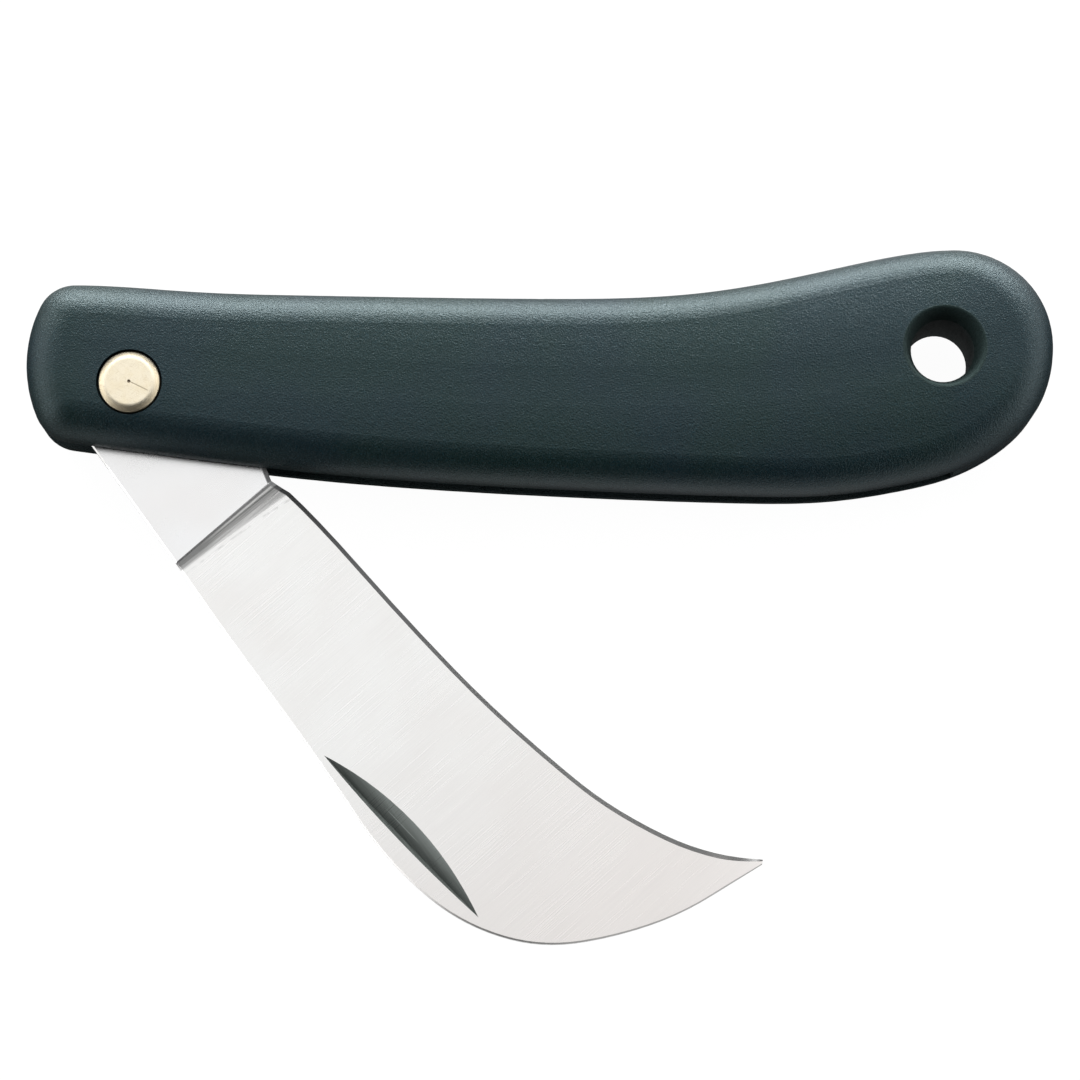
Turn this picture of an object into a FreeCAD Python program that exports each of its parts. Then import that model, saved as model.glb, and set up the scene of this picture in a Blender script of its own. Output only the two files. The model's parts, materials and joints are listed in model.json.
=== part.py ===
import FreeCAD, Part
import math
import os

# Folding grafting knife with a hooked blade, in millimetres.
# The knife lies on its side with the blade part open. +X runs along the handle to the lanyard
# end, +Y to the back of the handle and +Z up through its thickness. The origin is on the
# resting side, halfway along the handle and level with the pivot.
# Places in the plane of the knife are worked out from the pivot and moved to the origin last.

# Whole knife
thickness = 13.0            # handle, from the resting side to the upper side
blade_thickness = 2.2       # tang and unground blade
overrun = 5.0               # how far every cut runs past what it cuts

# Blade outline: u runs from the pivot along the straight spine, v to the cutting edge
blade_run = 74.4            # pivot to tip along the spine
tip_rise = 23.0             # pivot to tip across the spine
spine_drop = 6.6            # pivot to the spine
heel_rise = 6.7             # pivot to the start of the cutting edge
heel_run = 17.2             # pivot to the start of the cutting edge, along the spine
spine_angle = 54.1          # spine below the handle's length, as the knife lies
spine_shares = [(0.42, 0.0), (0.61, 0.0), (0.74, 0.014), (0.843, 0.098), (0.915, 0.243),
                (0.956, 0.415), (0.984, 0.61), (0.997, 0.815)]
edge_shares = [(0.345, 0.072), (0.515, 0.158), (0.63, 0.24), (0.725, 0.335), (0.805, 0.436),
               (0.868, 0.556), (0.916, 0.675), (0.958, 0.819)]
tip_width = 0.5             # blunt end left at the very tip
tip_angle = 45.0            # direction across the blunt tip, from the spine's direction

# Blade section
grind_spine = 1.66          # thickness at the spine just past the plunge
grind_edge = 0.62           # thickness where the fine bevel starts
tip_thin_share = 0.7        # that thickness at the tip, as a share
bevel_width = 0.46          # fine bevel that makes the edge
edge_thickness = 0.08       # the edge itself
spine_break = 0.16          # chamfer along both corners of the spine
plunge_skew = 1.2           # the plunge line starts this much nearer the handle at the edge
plunge_width_edge = 1.9     # ramp of the plunge at the edge
plunge_width_spine = 0.95   # ramp of the plunge at the spine
plunge_shares = [(0.3, 0.5), (0.62, 0.84)]  # along the hollow ramp: run, then depth
ricasso_step = 0.85         # unground part stands back from the edge line

# Tang
cam_radius = 5.0            # round end of the tang, under the spring
cam_flat = 4.75             # pivot to the two flats of the cam
shoulder_run = 0.9          # stop shoulder past the pivot, along the spine
kick_run = 10.5             # corner of the tang inside the handle
kick_rise = 7.0
closed_turn = 35.0          # degrees from the drawn pose to closed
open_turn = 126.0           # degrees from the drawn pose to fully open
loft_degree = 2             # keeps the ground faces from swelling between the sections

# Nail nick: a groove cut by a wheel with a sharp, lopsided rim
nick_run = 51.6             # pivot to the middle of the groove, along the spine
nick_inset = 2.35           # spine to the middle of the groove
nick_length = 22.4
nick_depth = 0.62
nick_skew = 7.9             # degrees from the spine's direction
nick_wide = 2.3             # side of the groove towards the edge
nick_narrow = 0.45          # side of the groove towards the spine

# Handle outline
front_length = 10.6         # pivot to the front end
butt_length = 13.6          # closed tip to the butt end
front_rise = 10.46          # pivot to the back of the handle at the front corner
waist_rise = 9.12           # pivot to the lowest part of the back
butt_rise = 14.14           # pivot to the highest part of the back
belly_drop = 10.65          # pivot to the lowest part of the belly
front_drop = 5.27           # pivot to the belly at the front corner
front_radius = 13.8         # bow of the front end
front_bow_rise = 2.5        # middle of that bow above the pivot
corner_radius = 3.9         # both front corners
toe_slope = 8.0             # degrees, belly line where it leaves the front corner
butt_radius = 9.75
edge_round = 3.8            # rounding of the whole outline on both sides
crown_flat = 2.0            # both sides are level this far from their middle line
crown_radius = 33.0         # and fall away to the back and the belly in an arc
crown_reach = 16.0          # how far that arc is cut
crown_shares = [0.04, 0.2, 0.4, 0.6, 0.8, 0.94]  # places along the handle that it passes
waist_share = 0.45
back_front_shares = [(0.07, 0.485), (0.18, 0.25), (0.3, 0.11)]
back_rear_shares = [(0.62, 0.128), (0.73, 0.486), (0.83, 0.88)]
belly_shares = [(0.9935, -0.035), (0.978, 0.24), (0.943, 0.53), (0.895, 0.752), (0.836, 0.888),
                (0.755, 0.99), (0.66, 1.0), (0.45, 0.93), (0.2, 0.78), (0.02, 0.595)]

# Lanyard hole
hole_radius = 3.15          # straight middle part
hole_mouth_radius = 3.95    # both ends open out to this
hole_mouth_depth = 2.6      # from each side to the straight part
hole_round = 0.25           # rounded rim on both sides
hole_slack_share = 0.05     # how near the mouth's circle the crowned rim stays
hole_past_tip = 2.5         # closed tip to the hole's axis, along the handle
hole_rise = 3.6             # pivot to the hole's axis

# Blade slot
washer_thickness = 0.4
washer_radius = 4.4
side_gap = 0.05             # washer to blade, each side
tip_gap = 1.0               # closed tip to the slot's roof
slot_past_tip = 2.0         # closed tip to the slot's end wall, at the roof
slot_lean = 2.1             # the end wall leans back this much down to the lip
roof_gap = 0.4              # open blade's spine, and the lifted spring, to the roof
socket_floor = 1.6          # material under the spring's socket

# Back spring
spring_thickness = 1.5
spring_width = 2.4
spring_slope = 2.2          # degrees, it dips towards the butt
spring_gap = 0.1            # over the cam
spring_length = 46.8
socket_length = 14.0
socket_fit = 0.02           # spring in its socket, each way
stop_gap = 0.1              # shoulder to the spring's end when fully open

# Pivot rivet, in two halves
head_radius = 3.05
head_recess_gap = 0.2       # head to the wall of its recess
recess_depth = 1.4
head_proud = 0.15           # both heads stand out of the handle's sides
head_edge_drop = 0.4        # rounded rim of the head
head_edge_width = 0.75
tube_radius = 2.0
shank_radius = 1.2
rivet_fit = 0.01            # shank in tube, each way
bore_fit = 0.03             # tube in handle
pivot_fit = 0.05            # blade on tube
tube_end_gap = 0.05         # tube to the underside of the upper head
shank_end_gap = 0.3         # shank to the bottom of the tube

# Worked out from the sizes above
mid_z = thickness / 2
slot_width = blade_thickness + 2 * (washer_thickness + side_gap)
slot_low = mid_z - slot_width / 2
slot_high = mid_z + slot_width / 2
blade_low = mid_z - blade_thickness / 2
tip_radius = math.hypot(blade_run, tip_rise)
rear_length = tip_radius + butt_length
handle_length = front_length + rear_length
pivot_x = front_length - handle_length / 2
spring_low = cam_radius + spring_gap
spring_high = spring_low + spring_thickness
closed_tip = math.radians(closed_turn - spine_angle) + math.atan2(tip_rise, blade_run)
closed_tip_y = tip_radius * math.sin(closed_tip)
hole_x = tip_radius + hole_past_tip

up = FreeCAD.Vector(0, 0, 1)
pivot = FreeCAD.Vector(0, 0, 0)


def vec(x, y, z=0.0):
    return FreeCAD.Vector(x, y, z)


def polar(centre, radius, degrees):
    angle = math.radians(degrees)
    return centre + vec(radius * math.cos(angle), radius * math.sin(angle))


def arc(centre, radius, start, end):
    """Arc about a centre, from one angle to another in degrees."""
    middle = (start + end) / 2
    points = [polar(centre, radius, angle) for angle in (start, middle, end)]
    return Part.Arc(*points).toShape()


def spline(points, first, last):
    curve = Part.BSplineCurve()
    curve.interpolate(Points=points, InitialTangent=first, FinalTangent=last, Scale=False)
    return curve.toShape()


def plate(outline, low, high):
    """Solid with the given outline between two heights."""
    face = Part.Face(outline)
    face.translate(vec(0, 0, low))
    return face.extrude(up * (high - low))


def polygon(points):
    return Part.makePolygon(points + points[:1])


def cylinder(radius, low, high, centre=pivot):
    return Part.makeCylinder(radius, high - low, centre + up * low)


def turned(shape, degrees):
    """Copy turned about the pivot axis."""
    copy = shape.copy()
    copy.rotate(pivot, up, degrees)
    return copy


def handle_outline():
    """Closed wire of the handle at its widest, clockwise from the upper front corner."""
    bow = vec(front_radius - front_length, front_bow_rise)
    inner = front_radius - corner_radius
    upper_y = front_rise - corner_radius
    lower_y = corner_radius - front_drop
    upper = vec(bow.x - math.sqrt(inner ** 2 - (upper_y - bow.y) ** 2), upper_y)
    lower = vec(bow.x - math.sqrt(inner ** 2 - (lower_y - bow.y) ** 2), lower_y)
    upper_angle = math.degrees(math.atan2(upper.y - bow.y, upper.x - bow.x))
    lower_angle = math.degrees(math.atan2(lower.y - bow.y, lower.x - bow.x)) + 360
    toe_angle = 270 - toe_slope
    butt = vec(rear_length - butt_radius, butt_rise - butt_radius)

    back = [polar(upper, corner_radius, 90)]
    fall = front_rise - waist_rise
    back += [vec(x * rear_length, waist_rise + y * fall) for x, y in back_front_shares]
    back += [vec(waist_share * rear_length, waist_rise)]
    climb = butt_rise - waist_rise
    back += [vec(x * rear_length, waist_rise + y * climb) for x, y in back_rear_shares]
    back += [polar(butt, butt_radius, 90)]

    belly = [polar(butt, butt_radius, 0)]
    belly += [vec(x * rear_length, -y * belly_drop) for x, y in belly_shares]
    belly += [polar(lower, corner_radius, toe_angle)]
    toe = math.radians(toe_slope)

    edges = [arc(upper, corner_radius, upper_angle, 90),
             spline(back, vec(1, 0), vec(1, 0)),
             arc(butt, butt_radius, 90, 0),
             spline(belly, vec(0, -1), vec(-math.cos(toe), math.sin(toe))),
             arc(lower, corner_radius, toe_angle, lower_angle),
             arc(bow, front_radius, lower_angle, upper_angle)]
    return Part.Wire(Part.__sortEdges__(edges))


def spring_box(start, end, low, high, width):
    """Box along the spring: start and end along it, low and high above the pivot."""
    box = Part.makeBox(end - start, high - low, width, vec(start, low, mid_z - width / 2))
    return turned(box, -spring_slope)


def slot_cut():
    """Blade slot: open at the front and along the belly, with the spring's channel on top."""
    slope = math.radians(spring_slope)
    roof = spine_drop + roof_gap
    spring_end = spring_length - shoulder_run + stop_gap
    socket_start = spring_end - socket_length
    channel_roof = spring_high + roof_gap
    channel = spring_box(-overrun, socket_start, 0, channel_roof, slot_width)
    floor = spring_low * math.cos(slope) - socket_start * math.sin(slope) - socket_floor
    end_top = tip_radius + slot_past_tip
    end_low = closed_tip_y + tip_gap
    mouth = -belly_drop - overrun
    lean = slot_lean / (belly_drop + closed_tip_y)
    outline = [vec(-front_length - overrun, mouth),
               vec(-front_length - overrun, roof),
               vec(-shoulder_run, roof),
               vec(-shoulder_run, floor),
               vec(socket_start, floor),
               vec(end_top, end_low),
               vec(end_top + lean * (end_low - mouth), mouth)]
    slot = plate(polygon(outline), slot_low, slot_high)
    socket = spring_box(socket_start - overrun, spring_end + socket_fit, spring_low - socket_fit,
                        spring_high + socket_fit, spring_width + 2 * socket_fit)
    return slot.fuse([channel, socket])


def middle_line(outline):
    """Points halfway between belly and back, run on level past both ends."""
    points = []
    for part in crown_shares:
        x = part * handle_length - front_length
        line = Part.makeLine(vec(x, -handle_length), vec(x, handle_length))
        hits = [corner.Point.y for corner in outline.section(line).Vertexes]
        points.append(vec(x, (min(hits) + max(hits)) / 2))
    first = vec(-front_length - overrun, points[0].y)
    last = vec(rear_length + overrun, points[-1].y)
    return [first] + points + [last]


def flank(middles, side):
    """What the crown takes off the upper side, towards the back (1) or the belly (-1)."""
    wires = []
    for middle in middles:
        start = middle + vec(0, side * crown_flat, thickness)
        rim = []
        for across in (0, crown_reach / 2, crown_reach):
            drop = crown_radius - math.sqrt(crown_radius ** 2 - across ** 2)
            rim.append(start + vec(0, side * across, -drop))
        above = [vec(end.x, end.y, thickness + overrun) for end in (rim[2], rim[0])]
        lid = Part.makePolygon([rim[2]] + above + [rim[0]])
        wires.append(Part.Wire([Part.Arc(*rim).toShape()] + lid.Edges))
    return Part.makeLoft(wires, True)


def crowned(outline):
    """Body of the handle with both sides crowned and its whole rim rounded."""
    middles = middle_line(outline)
    flanks = [flank(middles, side) for side in (1, -1)]
    flanks += [cut.mirror(up * mid_z, up) for cut in flanks]
    body = plate(outline, 0, thickness).cut(flanks)
    rim = [edge for edge in body.Edges if lies_on(outline, edge)]
    return body.makeFillet(edge_round, rim)


def lies_on(outline, edge, slack_share=0.01):
    """True for an edge round one of the sides, and not up the wall or across a side."""
    upright = abs(edge.tangentAt(edge.FirstParameter).z) > math.sqrt(0.5)
    middle = edge.valueAt((edge.FirstParameter + edge.LastParameter) / 2)
    below = Part.Vertex(middle.x, middle.y, 0)
    return not upright and outline.distToShape(below)[0] < edge_round * slack_share


def lanyard_hole(at):
    """Straight hole that opens out in a steep cone at both ends."""
    flare = (hole_mouth_radius - hole_radius) / hole_mouth_depth
    length = hole_mouth_depth + overrun
    wide = hole_radius + flare * length
    hole = cylinder(hole_radius, -overrun, thickness + overrun, at)
    upper = Part.makeCone(hole_radius, wide, length, at + up * (thickness - hole_mouth_depth))
    lower = Part.makeCone(wide, hole_radius, length, at - up * overrun)
    return hole.fuse([upper, lower])


def handle():
    body = crowned(handle_outline())
    hole_at = vec(hole_x, hole_rise)
    body = body.cut(lanyard_hole(hole_at))
    ring = Part.Wire(Part.makeCircle(hole_mouth_radius, hole_at))
    rims = [edge for edge in body.Edges if lies_on(ring, edge, hole_slack_share)]
    body = body.makeFillet(hole_round, rims)
    recess = head_radius + head_recess_gap
    cuts = [slot_cut(),
            cylinder(tube_radius + bore_fit, -overrun, thickness + overrun),
            cylinder(recess, -overrun, recess_depth),
            cylinder(recess, thickness - recess_depth, thickness + overrun)]
    return body.cut(cuts)


def section(spine, edge, at_spine, at_bevel, at_edge, bevel):
    """Closed wire across the blade, from the spine to the edge, with three thicknesses."""
    along = edge - spine
    width = along.Length
    along.normalize()
    half = at_spine / 2
    broken = min(spine_break, half / 2)
    side = [(0, half - broken), (broken, half), (width - bevel, at_bevel / 2),
            (width, at_edge / 2)]
    upper = [spine + along * a + up * (mid_z + b) for a, b in side]
    lower = [spine + along * a + up * (mid_z - b) for a, b in side]
    return polygon(upper + lower[::-1])


def plunge_ends():
    """Spine and edge ends of the plunge line, then of the line where the grind is full."""
    edge_u = heel_run - plunge_width_edge
    spine_u = edge_u + plunge_skew
    return (vec(spine_u, -spine_drop), vec(edge_u, heel_rise - ricasso_step),
            vec(spine_u + plunge_width_spine, -spine_drop), vec(heel_run, heel_rise))


def blade_stations():
    """Spine and edge points of the ground blade, from the plunge to the tip."""
    start = plunge_ends()
    rise = tip_rise + spine_drop
    climb = tip_rise - heel_rise
    spines = [start[2]] + [vec(u * blade_run, v * rise - spine_drop) for u, v in spine_shares]
    edges = [start[3]] + [vec(u * blade_run, v * climb + heel_rise) for u, v in edge_shares]
    tip = vec(blade_run, tip_rise)
    across = polar(pivot, tip_width, tip_angle + 90)
    return list(zip(spines + [tip - across / 2], edges + [tip + across / 2]))


def ground_blade():
    """Flat ground blade, whose spine gets thinner as the blade gets narrower."""
    stations = blade_stations()
    wires = []
    last = len(stations) - 1
    full_width = (stations[0][1] - stations[0][0]).Length
    for count, (spine, edge) in enumerate(stations):
        share = max(0.0, count - last / 2) / (last / 2)
        at_bevel = grind_edge * (1 - (1 - tip_thin_share) * share)
        width = (edge - spine).Length
        at_spine = at_bevel + (grind_spine - grind_edge) * min(1.0, width / full_width)
        wires.append(section(spine, edge, at_spine, at_bevel, edge_thickness,
                             min(bevel_width, width / 3)))
    return Part.makeLoft(wires, True, False, False, loft_degree), plunge_ramp(wires[0])


def plunge_ramp(full):
    """Hollow ramp from the unground tang to the first full section, in a few flat strips."""
    spine, edge, end_spine, end_edge = plunge_ends()
    square = blade_thickness - 2 * spine_break
    wires = [section(spine, edge, blade_thickness, blade_thickness, square, bevel_width)]
    for run, depth in plunge_shares:
        at_spine = blade_thickness + (grind_spine - blade_thickness) * depth
        at_bevel = blade_thickness + (grind_edge - blade_thickness) * depth
        at_edge = square + (edge_thickness - square) * depth
        wires.append(section(spine + (end_spine - spine) * run, edge + (end_edge - edge) * run,
                             at_spine, at_bevel, at_edge, bevel_width))
    return Part.makeLoft(wires + [full], True, True)


def tang():
    """Unground end of the blade: ricasso, kick, round cam with two flats, stop shoulder."""
    spine, edge, end_spine, end_edge = plunge_ends()
    kick = vec(kick_run, kick_rise)
    reach = math.degrees(math.acos(cam_radius / kick.Length))
    touch = polar(pivot, cam_radius, math.degrees(math.atan2(kick_rise, kick_run)) + reach)
    outline = [vec(0, -spine_drop), spine, edge, kick, touch, pivot]
    body = plate(polygon(outline), blade_low, blade_low + blade_thickness)
    corners = [edge for edge in body.Edges
               if edge.BoundBox.YMax < spine_break - spine_drop
               and edge.BoundBox.ZLength < spine_break]
    body = body.makeChamfer(spine_break, corners)
    body = body.fuse(cylinder(cam_radius, blade_low, blade_low + blade_thickness))
    # In the closed and the open pose one flat lies under the spring. Beyond the open flat the
    # shoulder stops against the spring's end.
    flat = Part.makeBox(shoulder_run + cam_radius + overrun, overrun, thickness,
                        vec(-shoulder_run, cam_flat))
    closed_flat = turned(flat, spine_angle - closed_turn - spring_slope)
    open_flat = turned(flat, spine_angle + open_turn - spring_slope)
    return body.cut([closed_flat, open_flat])


def nick_cutter(face_z):
    """Wheel with a sharp rim, axis along the blade's face, that cuts the nail nick."""
    wheel = (nick_length / 2) ** 2 / (2 * nick_depth) + nick_depth / 2
    depth_share = wheel / nick_depth
    wide = Part.makeCone(wheel, 0, nick_wide * depth_share, pivot, vec(0, 1))
    narrow = Part.makeCone(wheel, 0, nick_narrow * depth_share, pivot, vec(0, -1))
    cutter = wide.fuse(narrow)
    cutter.rotate(pivot, up, nick_skew)
    cutter.translate(vec(nick_run, nick_inset - spine_drop, face_z - nick_depth + wheel))
    return cutter


def blade():
    ground, ramp = ground_blade()
    body = tang().fuse([ramp, ground])
    body = body.cut(cylinder(tube_radius + pivot_fit, 0, thickness))
    body = body.cut(nick_cutter(mid_z + grind_spine / 2))
    return turned(body, -spine_angle)


def back_spring():
    start = stop_gap - shoulder_run
    return spring_box(start, start + spring_length, spring_low, spring_high, spring_width)


def washer(low):
    ring = cylinder(washer_radius, low, low + washer_thickness)
    return ring.cut(cylinder(tube_radius + pivot_fit, 0, thickness))


def head(seat, face):
    """Round rivet head from its seat to its face, with a rounded rim."""
    way = 1 if face > seat else -1
    rim = face - way * head_edge_drop
    flat = head_radius - head_edge_width
    bend = math.sqrt(0.5)
    middle = vec(flat + head_edge_width * bend, 0, rim + way * head_edge_drop * bend)
    edges = [Part.makeLine(vec(0, 0, seat), vec(head_radius, 0, seat)),
             Part.makeLine(vec(head_radius, 0, seat), vec(head_radius, 0, rim)),
             Part.Arc(vec(head_radius, 0, rim), middle, vec(flat, 0, face)).toShape(),
             Part.makeLine(vec(flat, 0, face), vec(0, 0, face)),
             Part.makeLine(vec(0, 0, face), vec(0, 0, seat))]
    return Part.Face(Part.Wire(edges)).revolve(pivot, up, 360)


def rivet_upper_half():
    """Head and solid shank, pressed into the lower half."""
    seat = thickness - recess_depth
    end = recess_depth - shank_end_gap
    shank = cylinder(shank_radius, end, seat)
    return head(seat, thickness + head_proud).fuse(shank)


def rivet_lower_half():
    """Head and tube. The blade turns on the tube."""
    top = thickness - recess_depth - tube_end_gap
    tube = cylinder(tube_radius, recess_depth, top)
    body = head(recess_depth, -head_proud).fuse(tube)
    bottom = recess_depth - 2 * shank_end_gap
    return body.cut(cylinder(shank_radius + rivet_fit, bottom, top + overrun))


def parts():
    return {
        "handle": handle(),
        "blade": blade(),
        "back_spring": back_spring(),
        "upper_washer": washer(slot_high - washer_thickness),
        "lower_washer": washer(slot_low),
        "rivet_upper_half": rivet_upper_half(),
        "rivet_lower_half": rivet_lower_half(),
    }


os.makedirs("parts", exist_ok=True)
for name, shape in parts().items():
    shape.translate(vec(pivot_x, 0))
    shape.exportStep("parts/" + name + ".step")
    print(name, "valid", shape.isValid(), "solids", len(shape.Solids), "volume",
          round(shape.Volume, 2))
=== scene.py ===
import json
import math

import bmesh
import bpy
from mathutils import Matrix, Vector


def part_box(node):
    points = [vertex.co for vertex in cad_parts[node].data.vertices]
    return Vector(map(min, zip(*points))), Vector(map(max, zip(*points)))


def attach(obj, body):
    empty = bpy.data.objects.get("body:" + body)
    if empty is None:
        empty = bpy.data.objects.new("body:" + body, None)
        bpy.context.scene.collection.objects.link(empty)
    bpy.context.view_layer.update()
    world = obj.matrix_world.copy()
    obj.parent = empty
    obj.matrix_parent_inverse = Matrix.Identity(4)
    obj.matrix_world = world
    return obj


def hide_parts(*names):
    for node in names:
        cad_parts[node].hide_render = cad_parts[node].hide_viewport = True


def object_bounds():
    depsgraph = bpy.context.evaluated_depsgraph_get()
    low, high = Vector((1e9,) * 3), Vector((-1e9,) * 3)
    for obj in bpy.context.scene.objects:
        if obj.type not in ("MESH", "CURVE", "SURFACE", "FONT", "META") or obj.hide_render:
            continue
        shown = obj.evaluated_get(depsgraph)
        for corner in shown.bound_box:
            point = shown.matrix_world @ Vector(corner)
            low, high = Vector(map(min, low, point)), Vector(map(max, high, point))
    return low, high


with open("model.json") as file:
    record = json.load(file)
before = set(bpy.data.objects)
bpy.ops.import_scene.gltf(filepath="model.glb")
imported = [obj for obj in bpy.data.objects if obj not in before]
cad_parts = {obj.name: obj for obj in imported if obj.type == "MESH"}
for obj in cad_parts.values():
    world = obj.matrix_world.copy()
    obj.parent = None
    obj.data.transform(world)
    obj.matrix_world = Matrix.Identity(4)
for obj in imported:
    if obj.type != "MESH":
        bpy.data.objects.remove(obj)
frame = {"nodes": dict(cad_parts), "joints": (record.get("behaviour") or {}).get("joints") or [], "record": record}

bl_info = {
    "name": "Folding grafting knife",
    "version": (1, 0, 0),
    "blender": (4, 5, 0),
    "location": "3D View > Sidebar > Knife",
    "description": "Finishes the packed grafting knife and sets it on a pale studio table",
    "category": "Object",
}

MM = 0.001


def mount_place(name):
    """Place of one of the record's mounts, in metres."""
    for mount in frame["record"]["mounts"]:
        if mount["name"] == name:
            return mount["pos_m"]
    raise RuntimeError("no such mount")


CAD_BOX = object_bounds()
PIVOT = Vector(frame["joints"][0]["pos_m"])
HOLE = Vector(mount_place("lanyard_hole"))
SPINE_ANGLE = math.radians(54.1)     # blade's spine below the handle's length at rest
HEAD_SIDES = 96
SMOOTH_ANGLE = math.radians(24)
# Each lamp's place, the point that it shines at and its size, in metres
OVERHEAD = ((0.0, 0.75, 0.7), (0.0, 0.02, 0.0), (1.2, 0.6))
BACK = ((0.0, 0.9, 0.16), (0.0, 0.0, 0.0), (1.4, 0.32))
UPPER = "rivet_upper_half"
LOWER = "rivet_lower_half"


# Sizes and colours that a user would change

def colour(name, description, default):
    return bpy.props.FloatVectorProperty(
        name=name, description=description, default=default, subtype="COLOR", size=3,
        min=0.0, max=1.0)


def length(name, description, default):
    return bpy.props.FloatProperty(
        name=name, description=description, default=default, min=0.0, precision=5,
        subtype="DISTANCE", unit="LENGTH")


def share(name, description, default):
    return bpy.props.FloatProperty(
        name=name, description=description, default=default, min=0.0, max=1.0,
        subtype="FACTOR")


class HandleFinish(bpy.types.PropertyGroup):
    green: colour("Green side", "Greener tone of the moulded polymer", (0.0016, 0.0098, 0.0088))
    blue: colour("Blue side", "Bluer tone of the moulded polymer", (0.002, 0.0088, 0.0122))
    grain: length("Grain", "Width of one pit of the spark-eroded grain", 0.17 * MM)
    grain_depth: length("Grain depth", "Depth of the grain", 0.065 * MM)
    hole: colour("Hole wall", "Colour of the lanyard hole's smooth wall", (0.0028, 0.0105, 0.0086))
    sheen: colour("Sheen", "Tint of the polymer's mirrored light", (0.75, 0.955, 1.0))
    roughness: share("Roughness", "Roughness of the grained surface", 0.29)
    dull: share("Dull walls", "Roughness inside the hole and the slot", 0.85)
    hole_radius: length("Hole radius", "Radius round the lanyard hole that stays dull", 4.25 * MM)
    # Painted shade inside the blade slot
    slot_shade: colour("Slot shade", "Colour inside the blade slot", (0.0005, 0.002, 0.002))
    slot_half: length("Half slot", "Half the width of the blade slot", 1.55 * MM)
    slot_run: length("Slot run", "Pivot to the slot's end", 82.2 * MM)
    slot_roof: length("Slot roof", "Pivot to above the slot's roof", 7.6 * MM)


class BladeFinish(bpy.types.PropertyGroup):
    steel: colour("Steel", "Colour of the ground faces", (0.965, 0.965, 0.953))
    tang: colour("Tang steel", "Colour of the unground tang", (0.965, 0.97, 0.975))
    cloud: colour("Clouds", "Colour of the faint patches in the steel", (0.87, 0.835, 0.81))
    warm: colour("Warm end", "Colour that the ground faces turn to at the tip",
                 (0.87, 0.825, 0.80))
    line: colour("Grinding lines", "Colour of the fine cross lines", (0.6, 0.6, 0.6))
    # Painted shade colour of the edge bevel, the plunge's bands and the ricasso's side
    honed_and_shade: colour("Honed edge and painted shade", "Colour of the fine bevel, the plunge's marks and the ricasso's"
                  " side", (0.12, 0.122, 0.124))
    # Painted shade on the edge bevel, darker towards the tip
    bevel_tip_shade: colour("Bevel shade at the tip", "Colour that the bevel turns to at the tip",
                      (0.03, 0.031, 0.03))
    # Painted shade, not wear, on the spine's side at both ends
    worn: colour("Painted spine shade", "Colour of the spine's side at both ends",
                 (0.5, 0.495, 0.485))
    # Painted shade in the nail nick, darkest at its deep side
    nick: colour("Nail nick", "Colour of the nail nick's deep side", (0.07, 0.08, 0.075))
    nick_light: colour("Nail nick, shallow side", "Colour towards the nick's curved side",
                       (0.3, 0.33, 0.315))
    line_width: length("Grind line", "Width of one grinding line", 0.09 * MM)
    roughness: share("Roughness", "Roughness of the ground faces", 0.21)
    plunge_u: length("Plunge place", "Pivot to the plunge line along the spine", 15.9 * MM)
    plunge_skew: bpy.props.FloatProperty(
        name="Plunge skew", description="Lean of the plunge line from square to the spine",
        default=math.radians(5.5), subtype="ANGLE", unit="ROTATION")
    plunge_ramp: length("Plunge ramp", "Width of the plunge at the middle", 1.42 * MM)
    edge_turn: bpy.props.FloatProperty(
        name="Edge turn", description="Mean direction of the hooked edge from the spine's",
        default=math.radians(35.0), subtype="ANGLE", unit="ROTATION")
    heel_place: bpy.props.FloatVectorProperty(
        name="Heel place", description="End of the ricasso, along and across the spine",
        default=(15.3 * MM, 5.85 * MM), size=2, subtype="XYZ", unit="LENGTH")
    nick_place: bpy.props.FloatVectorProperty(
        name="Nick place", description="Middle of the nail nick, along and across the spine",
        default=(51.6 * MM, -4.25 * MM), size=2, subtype="XYZ", unit="LENGTH")
    nick_skew: bpy.props.FloatProperty(
        name="Nick skew", description="Angle of the nail nick to the spine",
        default=math.radians(7.9), subtype="ANGLE", unit="ROTATION")
    nick_length: length("Nick length", "Length of the nail nick", 23.5 * MM)
    nick_width: length("Nick width", "Width of the nick's shallow side", 2.3 * MM)


class RivetShape(bpy.types.PropertyGroup):
    brass: colour("Brass", "Colour of the rivet", (0.96, 0.875, 0.69))
    rim: colour("Rim", "Colour of the head's slanting rim, darker than the flat top",
                (0.6, 0.52, 0.37))
    # Painted shade on the rim's rear side, towards the back lamp
    rim_rear_shade: colour("Rear of the rim", "Colour of the rim's rear side, rougher, with painted shade",
                     (0.2, 0.18, 0.14))
    tarnish: colour("Tarnish", "Colour of the brass where it is worn", (0.80, 0.68, 0.44))
    scratched: colour("Scratches", "Colour of the fine scratches", (0.5, 0.42, 0.28))
    gouged: colour("Long scratch", "Colour of the scratch from the centre mark",
                   (0.25, 0.2, 0.12))
    centre: colour("Centre mark", "Colour in the centre mark", (0.16, 0.12, 0.08))
    flat_radius: length("Flat radius", "Radius of the head's flat top", 2.42 * MM)
    rim_drop: length("Rim drop", "Height of the slanting rim", 0.3 * MM)
    rim_round: length("Rim rounding", "Rounding of the rim's upper corner", 0.18 * MM)
    seat_depth: length("Seat depth", "Depth of both heads' seats in the handle", 1.4 * MM)
    shank_radius: length("Shank radius", "Radius of the upper half's shank", 1.2 * MM)
    tube_radius: length("Tube radius", "Radius of the lower half's tube", 2.0 * MM)
    fit: length("Fit", "Room round the shank in the tube", 0.01 * MM)
    dimple_radius: length("Dimple radius", "Radius of the centre mark", 0.16 * MM)
    dimple_depth: length("Dimple depth", "Depth of the centre mark", 0.12 * MM)
    roughness: share("Roughness", "Roughness of the polished brass", 0.3)


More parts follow.
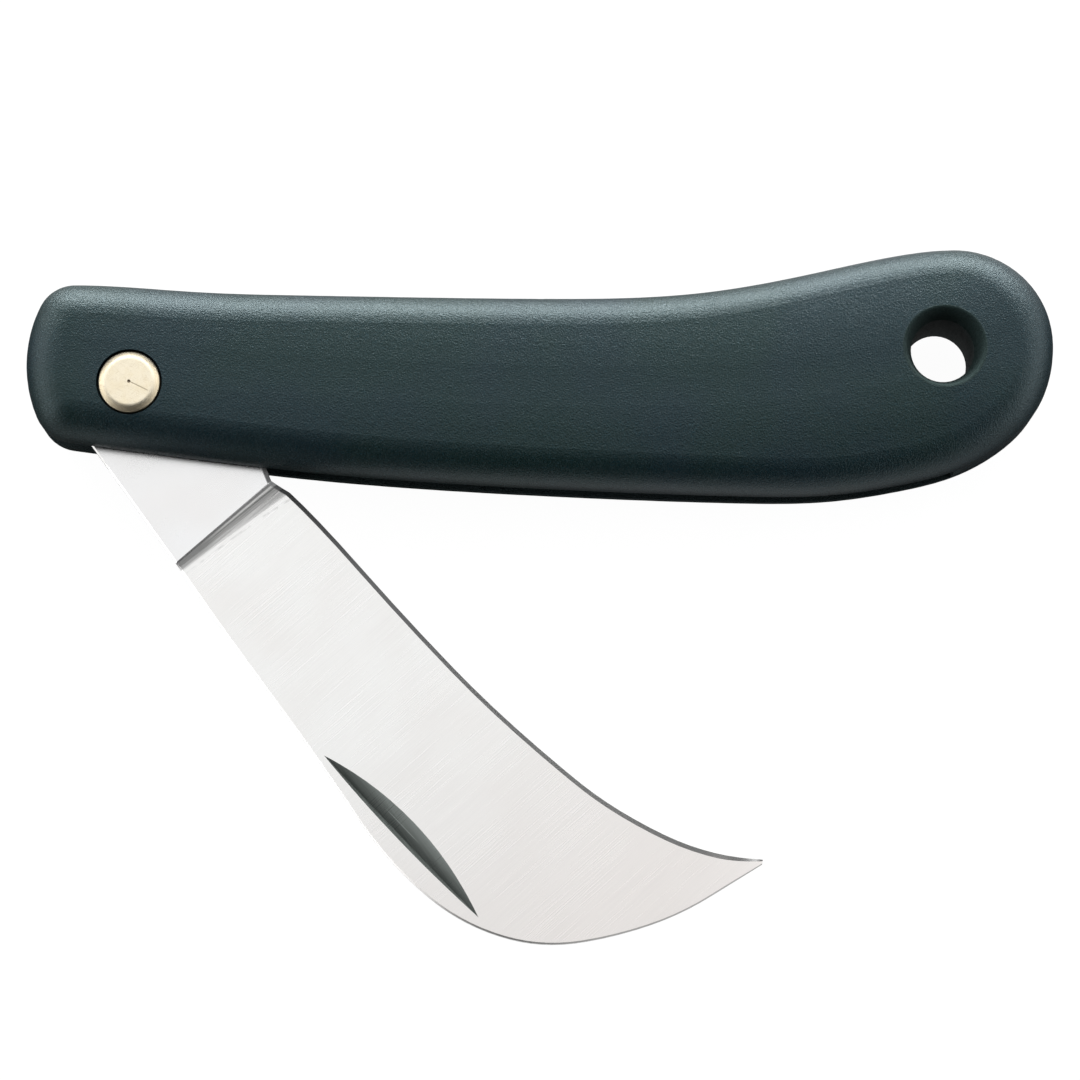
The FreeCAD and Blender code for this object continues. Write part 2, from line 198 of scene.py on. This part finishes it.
class SpringFinish(bpy.types.PropertyGroup):
    steel: colour("Spring steel", "Colour of the back spring", (0.42, 0.42, 0.43))
    bronze: colour("Bronze", "Colour of the washers", (0.58, 0.43, 0.24))


class Studio(bpy.types.PropertyGroup):
    lens: bpy.props.FloatProperty(
        name="Lens", description="Focal length for a 36 mm wide film", default=126.7,
        min=10.0, subtype="DISTANCE_CAMERA", unit="CAMERA")
    camera: bpy.props.FloatVectorProperty(
        name="Camera", description="Place of the camera", default=(0.0, -0.0742, 0.3798),
        size=3, subtype="TRANSLATION", unit="LENGTH")
    target: bpy.props.FloatVectorProperty(
        name="Target", description="Point that the camera looks at",
        default=(0.0, -0.0158, 0.013), size=3, subtype="TRANSLATION", unit="LENGTH")
    floor: colour("Floor", "Colour of the table", (0.08, 0.08, 0.08))
    floor_glow: share("Backdrop share", "Part of the table's white that shade leaves", 0.965)
    floor_gloss: share("Mirrored backdrop", "Part of that white which mirrors show", 0.7)
    shade: bpy.props.FloatVectorProperty(
        name="Shade", description="Where the knife's shade on the table starts to fade and ends",
        default=(0.012, 0.022), size=2, subtype="XYZ", unit="LENGTH")
    hole_light: bpy.props.FloatVectorProperty(
        name="Hole light", description="Where the light through the hole starts to fade and ends",
        default=(0.004, 0.007), size=2, subtype="XYZ", unit="LENGTH")
    hole_share: share("Hole light share", "Part of the white that this light leaves", 0.8)
    tent: share("Tent light", "Even light of the white tent round the table", 0.985)
    gap: share("Tent opening", "How far the tent's light falls off behind the camera", 0.98)
    sides: share("Side walls", "Extra light of the tent's walls at both ends", 1.0)
    overhead: bpy.props.FloatProperty(
        name="Overhead light", description="Power of the large lamp overhead", default=1.8,
        min=0.0, unit="POWER")
    back: bpy.props.FloatProperty(
        name="Back light", description="Power of the lamp behind the handle's back",
        default=24.0, min=0.0, unit="POWER")


# Node trees written as Python expressions

class Value:
    """Output socket of a shader node. Sums with it add Math nodes."""

    def __init__(self, finish, socket):
        self.finish = finish
        self.socket = socket

    def maths(self, operation, *values):
        return self.finish.node("ShaderNodeMath", {"operation": operation}, *values)

    def __add__(self, other):
        return self.maths("ADD", self, other)

    def __sub__(self, other):
        return self.maths("SUBTRACT", self, other)

    def __rsub__(self, other):
        return self.maths("SUBTRACT", other, self)

    def __mul__(self, other):
        return self.maths("MULTIPLY", self, other)

    def __pow__(self, other):
        return self.maths("POWER", self, other)

    def __abs__(self):
        return self.maths("ABSOLUTE", self)

    def between(self, low, high):
        """0 below low, 1 above high and a smooth rise from one to the other."""
        settings = {"interpolation_type": "SMOOTHSTEP"}
        return self.finish.node("ShaderNodeMapRange", settings, Value=self,
                                From_Min=low, From_Max=high)

    def below(self, low, high):
        """1 below low, 0 above high and a smooth fall from one to the other."""
        return 1 - self.between(low, high)

    def near(self, middle, inner, outer):
        """1 within inner of the middle, and 0 from outer on."""
        return abs(self - middle).below(inner, outer)

    __radd__ = __add__
    __rmul__ = __mul__


class Finish:
    """Node tree of a material or of the world, emptied first."""

    def __init__(self, owner):
        self.owner = owner
        owner.use_nodes = True
        self.tree = owner.node_tree
        self.tree.nodes.clear()

    def node(self, kind, settings=None, *values, **sockets):
        """New node: its settings first, then its inputs by number or by name."""
        made = self.tree.nodes.new(kind)
        for name, setting in (settings or {}).items():
            setattr(made, name, setting)
        inputs = list(enumerate(values))
        inputs += [(name.replace("_", " "), value) for name, value in sockets.items()]
        for key, value in inputs:
            socket = made.inputs[key]
            if isinstance(value, Value):
                self.tree.links.new(value.socket, socket)
            elif socket.type == "RGBA":
                socket.default_value = (*value, 1.0)
            else:
                socket.default_value = value
        return Value(self, next((out for out in made.outputs if out.enabled), None))

    def outputs(self, kind):
        """Outputs of a new node with no inputs, by name."""
        return {out.name: Value(self, out) for out in self.tree.nodes.new(kind).outputs}

    def place(self):
        """Object coordinates, in metres."""
        return self.outputs("ShaderNodeTexCoord")["Object"]

    def normal(self):
        """Direction of the surface in the object's own axes."""
        return self.outputs("ShaderNodeTexCoord")["Normal"]

    def parts(self, vector):
        """X, Y and Z of a vector."""
        split = self.tree.nodes.new("ShaderNodeSeparateXYZ")
        self.tree.links.new(vector.socket, split.inputs[0])
        return [Value(self, out) for out in split.outputs]

    def radius(self, vector):
        """Distance from the Z axis."""
        x, y = self.parts(vector)[:2]
        return (x * x + y * y) ** 0.5

    def either(self, first, second):
        """The larger of two masks."""
        return first.maths("MAXIMUM", first, second)

    def mapped(self, vector, scale=(1, 1, 1), location=(0, 0, 0), turn=0.0):
        """Vector scaled, then turned about Z, then moved."""
        return self.node("ShaderNodeMapping", {"vector_type": "POINT"}, Vector=vector,
                         Scale=scale, Rotation=(0, 0, turn), Location=location)

    def noise(self, vector, scale, detail=2.0, roughness=0.5):
        return self.node("ShaderNodeTexNoise", {}, Vector=vector, Scale=scale,
                         Detail=detail, Roughness=roughness)

    def mix(self, share_of_second, first, second):
        made = self.tree.nodes.new("ShaderNodeMix")
        made.data_type = "RGBA"
        for key, value in ((0, share_of_second), (6, first), (7, second)):
            if isinstance(value, Value):
                self.tree.links.new(value.socket, made.inputs[key])
            elif key == 0:
                made.inputs[key].default_value = value
            else:
                made.inputs[key].default_value = (*value, 1.0)
        return Value(self, made.outputs[2])

    def bump(self, height, distance):
        return self.node("ShaderNodeBump", {}, Height=height, Distance=distance, Strength=1.0)

    def surface(self, **sockets):
        shader = self.node("ShaderNodeBsdfPrincipled", {}, **sockets)
        self.node("ShaderNodeOutputMaterial", {}, Surface=shader)
        return self.owner


def pivot_plane(finish):
    """Coordinates of the blade: u along the spine, v to the edge, from the pivot, in mm."""
    centred = finish.mapped(finish.place(), location=-PIVOT)
    turned = finish.mapped(centred, turn=SPINE_ANGLE)
    return finish.mapped(turned, scale=(1 / MM, 1 / MM, 1 / MM))


def polymer_finish(look):
    """Moulded polymer with a fine spark-eroded grain, dull inside the hole and the slot, and painted shade inside
    the slot.
    """
    finish = Finish(bpy.data.materials.new("handle_polymer"))
    place = finish.place()
    from_hole = finish.radius(finish.mapped(place, location=-HOLE))
    in_hole = from_hole.below(look.hole_radius - 0.15 * MM, look.hole_radius)
    cells = finish.node("ShaderNodeTexVoronoi", {"feature": "SMOOTH_F1"}, Vector=place,
                        Scale=1 / look.grain, Smoothness=0.6)
    fine = finish.noise(place, 2.2 / look.grain, detail=3.0, roughness=0.6)
    broad = finish.noise(place, 0.25 / look.grain, detail=2.0)
    height = cells * 0.5 + fine * 0.6 + broad * 0.25
    patches = finish.noise(place, 70.0, detail=3.0).between(0.4, 0.62)
    tone = finish.mix(patches, look.green, look.blue)
    pits = finish.noise(place, 1.1 / look.grain, detail=4.0, roughness=0.75)
    speck = pits.between(0.5, 0.64)
    lit = finish.mix(speck * 0.6, tone, tuple(part * 3 for part in look.blue))
    lit = finish.mix(in_hole, lit, look.hole)
    rough = look.roughness - 0.14 * speck + 0.06 * broad
    along, back, up = finish.parts(finish.mapped(place, location=-PIVOT))
    low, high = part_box("handle")
    in_slot = up.near((low.z + high.z) / 2 - PIVOT.z, look.slot_half, look.slot_half + 0.04 * MM) \
        * along.below(look.slot_run, look.slot_run + 0.3 * MM) \
        * back.below(look.slot_roof, look.slot_roof + 0.3 * MM)
    # Painted shade darkens the inside of the blade slot
    lit = finish.mix(in_slot * (1 - in_hole) * 0.8, lit, look.slot_shade)
    rough = finish.either(rough, finish.either(in_hole, in_slot) * look.dull)
    return finish.surface(Base_Color=lit, Roughness=rough, IOR=1.48, Specular_Tint=look.sheen,
                          Normal=finish.bump(height, look.grain_depth))


def ground_steel(look):
    """Blade steel: cross grinding, wheel marks at the plunge, a sharpened edge bevel and a nail nick, with painted
    shade in bands across the plunge, on the bevel, along the ricasso's side, at both ends of the spine and in the
    nick, and a painted glint in the nick.
    """
    finish = Finish(bpy.data.materials.new("blade_steel"))
    plane = pivot_plane(finish)
    leaned = finish.mapped(plane, turn=-look.plunge_skew)
    u = finish.parts(leaned)[0]
    past = u - look.plunge_u / MM
    ground = past.between(-0.1, 0.15)
    lines = finish.noise(finish.mapped(leaned, scale=(MM / look.line_width, 0.12, 0.12)), 1.0,
                         detail=3.0, roughness=0.65)
    broad = finish.noise(finish.mapped(leaned, scale=(0.25, 0.05, 0.05)), 1.0, detail=2.0)
    clouds = finish.noise(plane, 0.12, detail=3.0)
    satin = finish.noise(plane, 6.0, detail=4.0, roughness=0.7)
    tone = finish.mix(ground, look.tang, look.steel)
    tone = finish.mix(clouds.between(0.35, 0.75) * 0.3, tone, look.cloud)
    tone = finish.mix(u.between(38.0, 74.0) * 0.75, tone, look.warm)
    tone = finish.mix(lines.between(0.35, 0.7) * ground * 0.1, tone, look.line)
    # Painted shade bands across the plunge ramp, with streaky wheel marks
    marks, wheel = plunge_shade_and_marks(finish, look, leaned, past)
    tone = finish.mix(marks, tone, look.honed_and_shade)
    facing = finish.parts(finish.mapped(finish.normal(), turn=SPINE_ANGLE - look.edge_turn))[1]
    run = finish.parts(plane)[0]
    # Painted shade darkens the edge bevel, most towards the tip
    bevel = facing.between(0.25, 0.42)
    edge = finish.mix(run.between(22.0, 52.0) * 0.8, look.honed_and_shade, look.bevel_tip_shade)
    tone = finish.mix(bevel * 0.97, tone, edge)
    # Painted shade on the spine's side near the tip and near the handle
    spine = (0 - facing).between(0.25, 0.42)
    for part in (run.between(52.0, 68.0), run.below(4.0, 6.0)):
        tone = finish.mix(spine * part * 0.9, tone, look.worn)
    # Painted shade along the ricasso's narrow side and round into the heel
    corner = ricasso_shade_line(finish, look, plane)
    tone = finish.mix(corner * 0.95, tone, look.honed_and_shade)
    # Painted shade in the nail nick, lighter towards its curved side, with a painted glint
    cut, shallow = nail_nick(finish, look, plane)
    tone = finish.mix(cut, tone, finish.mix(shallow, look.nick, look.nick_light))
    rough = (look.roughness + 0.1 * lines * ground + 0.05 * (1 - ground) * satin
             + 0.05 * broad)
    relief = lines * ground * 0.6 + satin * (1 - ground) * 0.25
    normal = finish.bump(relief, 0.0012 * MM)
    matte = finish.either(finish.either(wheel, bevel) * 0.5, finish.either(corner, cut) * 0.7)
    return finish.surface(Base_Color=tone, Metallic=1 - matte, Roughness=rough, Normal=normal)


def plunge_shade_and_marks(finish, look, leaned, past):
    """Painted shade bands across the plunge, broken by streaky wheel marks, and where the coarse wheel left the
    steel matte.
    """
    v = finish.parts(leaned)[1]
    across = past * (MM / look.plunge_ramp) * (1 - 0.05 * v)
    streaks = finish.noise(finish.mapped(leaned, scale=(7.0, 0.12, 0.12)), 1.0, detail=3.0)
    patches = finish.noise(leaned, 1.1, detail=3.0)
    first = across.near(0.05, 0.03, 0.1)
    second = across.near(0.3, 0.03, 0.09)
    band = across.between(0.3, 0.45) * across.below(0.8, 1.0)
    last = across.near(1.32, 0.03, 0.1)
    low_end = v.below(-5.5, -1.0) * across.between(0.0, 0.1) * across.below(0.7, 0.9)
    lines = finish.either(first * 0.75, second * 0.6)
    marks = finish.either(lines, band * streaks.between(0.3, 0.65) * 0.45)
    marks = finish.either(marks, low_end * 0.55)
    wheel = across.between(-0.05, 0.05) * across.below(0.9, 1.15)
    return finish.either(marks, last * patches.between(0.4, 0.6) * 0.22), wheel


def ricasso_shade_line(finish, look, plane):
    """Painted shade line along the ricasso's narrow side that bends round into the heel."""
    u, v = (-part / MM for part in look.heel_place)
    moved = finish.mapped(plane, location=(u, v, 0))
    masks = []
    for turn, way, reach in ((13.5, -1, 6.0), (-24.0, 1, 2.1)):
        along, across = finish.parts(finish.mapped(moved, turn=math.radians(turn)))[:2]
        run = along * way
        masks.append(across.between(-0.52, -0.36) * run.between(-0.3, 0.0)
                     * run.below(reach, reach + 0.2))
    return finish.either(*masks)


def nail_nick(finish, look, plane):
    """Mask of the nail nick, and its painted shade: how far each place lies towards its shallow, curved side, with
    a painted glint.
    """
    u, v = (-part / MM for part in look.nick_place)
    moved = finish.mapped(plane, location=(u, v, 0))
    along, across = finish.parts(finish.mapped(moved, turn=-look.nick_skew))[:2]
    reach = look.nick_width / MM
    half = look.nick_length / MM / 2
    inside = abs(along).below(half * 0.985, half) * across.between(-0.55, -0.48) \
        * across.below(reach * 1.1, reach * 1.2)
    cut = inside * abs(finish.parts(finish.normal())[2]).below(0.98, 0.99)
    glint = across.near(0.35 * reach, 0.02, 0.08) \
        * along.near(-0.06 * half, 0.08 * half, 0.3 * half)
    grey = finish.noise(finish.mapped(plane, scale=(0.3, 5.0, 1.0)), 1.0, detail=3.0)
    shade = across.between(0.02 * reach, 0.8 * reach) * 0.85 + grey.between(0.4, 0.7) * 0.12
    return cut, finish.either(shade, glint)


def polished_brass(look):
    """Pale brass with fine random scratches and a scratch from the centre mark, and painted shade on the rim's
    rear side.
    """
    finish = Finish(bpy.data.materials.new("rivet_brass"))
    place = finish.mapped(finish.place(), location=-PIVOT)
    millimetres = finish.mapped(place, scale=(1 / MM, 1 / MM, 1 / MM))
    ways = [finish.noise(finish.mapped(finish.mapped(millimetres, turn=math.radians(way)),
                                       scale=(1.2, 26.0, 1.2)), 1.0, detail=2.0)
            for way in (25.0, -38.0, 80.0)]
    scratches = ways[0].between(0.6, 0.66) + ways[1].between(0.61, 0.68) \
        + ways[2].between(0.63, 0.7)
    along, across = finish.parts(finish.mapped(millimetres, turn=math.radians(28.0)))[:2]
    long_scratch = across.near(0.03 * along, 0.03, 0.07) \
        * along.between(0.05, 0.2) * along.below(1.9, 2.3)
    worn = finish.noise(millimetres, 0.9, detail=3.0)
    tone = finish.mix(worn.between(0.4, 0.7) * 0.3, look.brass, look.tarnish)
    tone = finish.mix(scratches * 0.45, tone, look.scratched)
    facing = finish.parts(finish.normal())
    slanting = abs(facing[2]).below(0.87, 0.98)
    tone = finish.mix(slanting, tone, look.rim)
    # Painted shade on the rim's rear side, towards the back lamp
    rear = slanting * facing[1].between(0.05, 0.35)
    tone = finish.mix(rear, tone, look.rim_rear_shade)
    tone = finish.mix(long_scratch * 0.7, tone, look.gouged)
    tone = finish.mix(finish.radius(millimetres).below(0.1, 0.22) * 0.8, tone, look.centre)
    rough = look.roughness + 0.12 * worn + 0.1 * scratches + 0.06 * slanting + 0.2 * rear
    normal = finish.bump(1 - scratches * 0.5 - long_scratch, 0.004 * MM)
    return finish.surface(Base_Color=tone, Metallic=1.0, Roughness=rough, Normal=normal)


def rolled_metal(name, tone, roughness, stretch):
    """Plain rolled strip or sheet with faint lines from the rolls."""
    finish = Finish(bpy.data.materials.new(name))
    millimetres = finish.mapped(finish.place(), scale=(1 / MM, 1 / MM, 1 / MM))
    lines = finish.noise(finish.mapped(millimetres, scale=stretch), 1.0, detail=3.0)
    blotch = finish.noise(millimetres, 0.5, detail=3.0)
    dark = tuple(part * 0.6 for part in tone)
    body = finish.mix(blotch.between(0.35, 0.7) * 0.5, tone, dark)
    rough = roughness + 0.15 * lines
    return finish.surface(Base_Color=body, Metallic=1.0, Roughness=rough,
                          Normal=finish.bump(lines, 0.002 * MM))


# Pieces

def dress(node, material):
    """Gives a CAD node a finish in its own material slots."""
    for slot in frame["nodes"][node].material_slots:
        slot.material = material


def level_faces(mesh, height, tolerance=0.01 * MM):
    """Selects the level faces at a height, and nothing else."""
    work = bmesh.from_edit_mesh(mesh)
    work.normal_update()
    count = 0
    for face in work.faces:
        level = abs(face.normal.z) > 0.9
        hit = level and abs(face.calc_center_median().z - height) < tolerance
        face.select_set(hit)
        count += hit
    bmesh.update_edit_mesh(mesh)
    if count == 0:
        raise RuntimeError("no level face at that height")


def rim_edges(mesh, height, radius, tolerance=0.02 * MM):
    """Selects the ring of edges at a height and a radius, and nothing else."""
    work = bmesh.from_edit_mesh(mesh)
    for part in (*work.faces, *work.edges, *work.verts):
        part.select_set(False)
    for edge in work.edges:
        ring = all(abs(vert.co.z - height) < tolerance
                   and abs(vert.co.xy.length - radius) < tolerance for vert in edge.verts)
        edge.select_set(ring)
    bmesh.update_edit_mesh(mesh)


def apply_place(piece):
    """Puts a piece's place into its mesh."""
    bpy.ops.object.select_all(action="DESELECT")
    piece.select_set(True)
    bpy.context.view_layer.objects.active = piece
    bpy.ops.object.transform_apply(location=True, rotation=True, scale=True)


def inset_to(mesh, height, from_radius, to_radius):
    """Insets the level face at a height from one radius to a smaller one."""
    level_faces(mesh, height)
    bpy.ops.mesh.inset(thickness=from_radius - to_radius, depth=0.0)


def head_with_stem(name, shape, head_radius, seat, face, stem_radius, stem_end, bore=None):
    """Rivet half: head with a slanting rim and a centre mark, and its stem or tube.

    It is made with the head upwards, from the seat at height 0, and placed last.
    """
    way = 1 if face > seat else -1
    tall = abs(face - seat)
    bpy.ops.object.select_all(action="DESELECT")
    bpy.ops.mesh.primitive_cylinder_add(vertices=HEAD_SIDES, radius=head_radius, depth=tall,
                                        location=(0, 0, 0), end_fill_type="NGON")
    piece = bpy.context.object
    piece.name = name
    piece.data.name = name
    piece.data.transform(Matrix.Translation((0, 0, tall / 2)))
    mesh = piece.data
    bpy.ops.object.mode_set(mode="EDIT")
    bpy.ops.mesh.select_mode(type="FACE")

    rim = tall - shape.rim_drop
    inset_to(mesh, tall, head_radius, shape.flat_radius)
    bpy.ops.mesh.select_mode(type="EDGE")
    rim_edges(mesh, tall, head_radius)
    bpy.ops.transform.translate(value=(0, 0, rim - tall))
    rim_edges(mesh, rim, head_radius)
    bpy.ops.mesh.bevel(offset=shape.rim_round * 0.7, segments=4, affect="EDGES")
    rim_edges(mesh, tall, shape.flat_radius)
    bpy.ops.mesh.bevel(offset=shape.rim_round, segments=6, affect="EDGES")

    bpy.ops.mesh.select_mode(type="FACE")
    inner = shape.flat_radius - shape.rim_round
    for wide, narrow in ((inner, inner * 0.97), (inner * 0.97, shape.dimple_radius)):
        inner_faces(mesh, tall, wide)
        bpy.ops.mesh.inset(thickness=wide - narrow)
    inner_faces(mesh, tall, shape.dimple_radius)
    bpy.ops.mesh.inset(thickness=shape.dimple_radius * 0.6, depth=-shape.dimple_depth)

    inset_to(mesh, 0, head_radius, stem_radius)
    inner_faces(mesh, 0, stem_radius)
    bpy.ops.mesh.extrude_region_move(TRANSFORM_OT_translate={"value": (0, 0, -stem_end)})
    if bore:
        bore_radius, bore_depth = bore
        inner_faces(mesh, -stem_end, stem_radius)
        bpy.ops.mesh.inset(thickness=stem_radius - bore_radius)
        inner_faces(mesh, -stem_end, bore_radius)
        bpy.ops.mesh.extrude_region_move(TRANSFORM_OT_translate={"value": (0, 0, bore_depth)})
    bpy.ops.mesh.select_all(action="SELECT")
    bpy.ops.mesh.normals_make_consistent(inside=False)
    bpy.ops.object.mode_set(mode="OBJECT")
    turn = Matrix.Identity(4) if way > 0 else Matrix.Rotation(math.pi, 4, "X")
    mesh.transform(turn)
    piece.location = (PIVOT.x, PIVOT.y, seat)
    apply_place(piece)
    bpy.ops.object.shade_smooth_by_angle(angle=SMOOTH_ANGLE)
    return piece


def inner_faces(mesh, height, radius, tolerance=0.03 * MM):
    """Selects the level faces at a height that lie within a radius."""
    work = bmesh.from_edit_mesh(mesh)
    work.normal_update()
    for face in work.faces:
        level = abs(face.normal.z) > 0.9 and abs(face.calc_center_median().z - height) < tolerance
        inside = all(vert.co.xy.length < radius + tolerance for vert in face.verts)
        face.select_set(level and inside)
    bmesh.update_edit_mesh(mesh)


class KNIFE_OT_rivet(bpy.types.Operator):
    """Models both halves of the pivot rivet and gives them their brass"""
    bl_idname = "knife.rivet"
    bl_label = "Pivot rivet"

    def execute(self, context):
        shape = context.scene.knife_rivet
        brass = polished_brass(shape)
        upper_low, upper_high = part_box(UPPER)
        lower_low, lower_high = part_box(LOWER)
        head_radius = (upper_high.x - upper_low.x) / 2
        handle_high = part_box("handle")[1].z
        upper_seat = handle_high - shape.seat_depth
        upper = head_with_stem("rivet_upper_brass", shape, head_radius, upper_seat,
                               upper_high.z, shape.shank_radius, upper_seat - upper_low.z)
        tube = lower_high.z - shape.seat_depth
        lower = head_with_stem("rivet_lower_brass", shape, head_radius, shape.seat_depth,
                               lower_low.z, shape.tube_radius, tube,
                               bore=(shape.shank_radius + shape.fit, tube))
        for piece, node in ((upper, UPPER), (lower, LOWER)):
            piece.data.materials.append(brass)
            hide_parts(node)
            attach(piece, "handle_body")
        return {"FINISHED"}


class KNIFE_OT_handle(bpy.types.Operator):
    """Gives the moulded handle its grained polymer"""
    bl_idname = "knife.handle"
    bl_label = "Handle"

    def execute(self, context):
        dress("handle", polymer_finish(context.scene.knife_handle))
        return {"FINISHED"}


class KNIFE_OT_blade(bpy.types.Operator):
    """Gives the blade its ground and sharpened steel, with painted shade"""
    bl_idname = "knife.blade"
    bl_label = "Blade"

    def execute(self, context):
        dress("blade", ground_steel(context.scene.knife_blade))
        return {"FINISHED"}


class KNIFE_OT_inner(bpy.types.Operator):
    """Gives the back spring and the two washers their metals"""
    bl_idname = "knife.inner"
    bl_label = "Spring and washers"

    def execute(self, context):
        look = context.scene.knife_spring
        dress("back_spring", rolled_metal("spring_steel", look.steel, 0.3, (0.4, 14.0, 14.0)))
        bronze = rolled_metal("washer_bronze", look.bronze, 0.35, (9.0, 0.5, 0.5))
        dress("upper_washer", bronze)
        dress("lower_washer", bronze)
        return {"FINISHED"}


class KNIFE_OT_stage(bpy.types.Operator):
    """Sets up the table, the lamps, the room and the camera"""
    bl_idname = "knife.stage"
    bl_label = "Table, lamps and camera"

    def execute(self, context):
        studio = context.scene.knife_studio
        make_table(studio)
        make_room(context.scene, studio)
        add_lamp("overhead", studio.overhead, *OVERHEAD)
        add_lamp("back", studio.back, *BACK)
        add_camera(context.scene, studio)
        return {"FINISHED"}


def make_table(studio):
    """White table whose mirror image is shaded close to the knife, but not under its hole."""
    bpy.ops.object.select_all(action="DESELECT")
    bpy.ops.mesh.primitive_plane_add(size=6.0, location=(0, 0, CAD_BOX[0].z - 0.02 * MM))
    table = bpy.context.object
    table.name = "table"
    apply_place(table)
    material = bpy.data.materials.new("table_white")
    finish = Finish(material)
    paint = finish.node("ShaderNodeBsdfDiffuse", {}, Color=tuple(studio.floor))
    path = finish.outputs("ShaderNodeLightPath")
    mirrored = finish.either(path["Is Glossy Ray"], path["Is Transmission Ray"])
    place = finish.place()
    from_hole = finish.radius(finish.mapped(place, location=-HOLE))
    # Painted shadow of the knife and a painted pool of light under its hole, in the table's mirrored glow
    through = from_hole.below(*studio.hole_light) * studio.hole_share
    away = finish.either(through, abs(finish.parts(place)[1]).between(*studio.shade))
    shown = finish.either(path["Is Camera Ray"], mirrored * away * studio.floor_gloss)
    strength = shown * studio.floor_glow
    glow = finish.node("ShaderNodeEmission", {}, Color=(1.0, 1.0, 1.0), Strength=strength)
    both = finish.node("ShaderNodeAddShader", {}, paint, glow)
    finish.node("ShaderNodeOutputMaterial", {}, Surface=both)
    table.data.materials.append(material)
    return table


def make_room(scene, studio):
    """White light tent, open behind the camera, on a backdrop that stays white."""
    world = bpy.data.worlds.new("room")
    scene.world = world
    room = Finish(world)
    path = room.outputs("ShaderNodeLightPath")
    mirrored = room.either(path["Is Glossy Ray"], path["Is Transmission Ray"])
    x, y, height = room.parts(room.outputs("ShaderNodeTexCoord")["Generated"])
    end = abs(x).between(0.55, 0.9)
    opening = (0 - y).between(-0.03, 0.1) * (1 - end)
    walls = end * height.between(-0.1, 0.1) * height.below(0.3, 0.8) * (studio.sides * 2)
    tent = (1 - opening * studio.gap) * studio.tent + walls
    backdrop = height.below(0.02, 0.12) * (1 - opening)
    shown = room.either(path["Is Camera Ray"], mirrored * backdrop)
    strength = room.either(shown, tent)
    back = room.node("ShaderNodeBackground", {}, Color=(1.0, 1.0, 1.0), Strength=strength)
    room.node("ShaderNodeOutputWorld", {}, Surface=back)


def add_lamp(name, power, place, target, size):
    data = bpy.data.lights.new(name, "AREA")
    data.shape = "RECTANGLE"
    data.size, data.size_y = size
    data.energy = power
    lamp = bpy.data.objects.new(name, data)
    bpy.context.scene.collection.objects.link(lamp)
    aim(lamp, place, target)


def aim(thing, place, target):
    thing.location = place
    look = Vector(target) - Vector(place)
    thing.rotation_euler = look.to_track_quat("-Z", "Y").to_euler()


def add_camera(scene, studio):
    data = bpy.data.cameras.new("camera")
    data.lens = studio.lens
    data.sensor_width = 36.0
    camera = bpy.data.objects.new("camera", data)
    scene.collection.objects.link(camera)
    aim(camera, studio.camera, studio.target)
    scene.camera = camera
    scene.view_settings.view_transform = "Standard"


class KNIFE_PT_panel(bpy.types.Panel):
    """Sizes, finishes and the buttons that build each part of the scene"""
    bl_idname = "KNIFE_PT_panel"
    bl_label = "Grafting knife"
    bl_space_type = "VIEW_3D"
    bl_region_type = "UI"
    bl_category = "Knife"

    def draw(self, context):
        for operator, group in STEPS:
            box = self.layout.box()
            box.operator(operator.bl_idname)
            settings = getattr(context.scene, group)
            for name in settings.__annotations__:
                box.prop(settings, name)


STEPS = ((KNIFE_OT_handle, "knife_handle"), (KNIFE_OT_blade, "knife_blade"),
         (KNIFE_OT_rivet, "knife_rivet"), (KNIFE_OT_inner, "knife_spring"),
         (KNIFE_OT_stage, "knife_studio"))
GROUPS = {"knife_handle": HandleFinish, "knife_blade": BladeFinish, "knife_rivet": RivetShape,
          "knife_spring": SpringFinish, "knife_studio": Studio}


def register():
    for name, group in GROUPS.items():
        bpy.utils.register_class(group)
        setattr(bpy.types.Scene, name, bpy.props.PointerProperty(type=group))
    for operator, _ in STEPS:
        bpy.utils.register_class(operator)
    bpy.utils.register_class(KNIFE_PT_panel)


def unregister():
    bpy.utils.unregister_class(KNIFE_PT_panel)
    for operator, _ in reversed(STEPS):
        bpy.utils.unregister_class(operator)
    for name, group in reversed(GROUPS.items()):
        delattr(bpy.types.Scene, name)
        bpy.utils.unregister_class(group)


def main():
    register()
    for operator, _ in STEPS:
        area, name = operator.bl_idname.split(".")
        result = getattr(getattr(bpy.ops, area), name)()
        if result != {"FINISHED"}:
            raise RuntimeError(operator.bl_label + " did not finish")


if __name__ == "__main__":
    main()
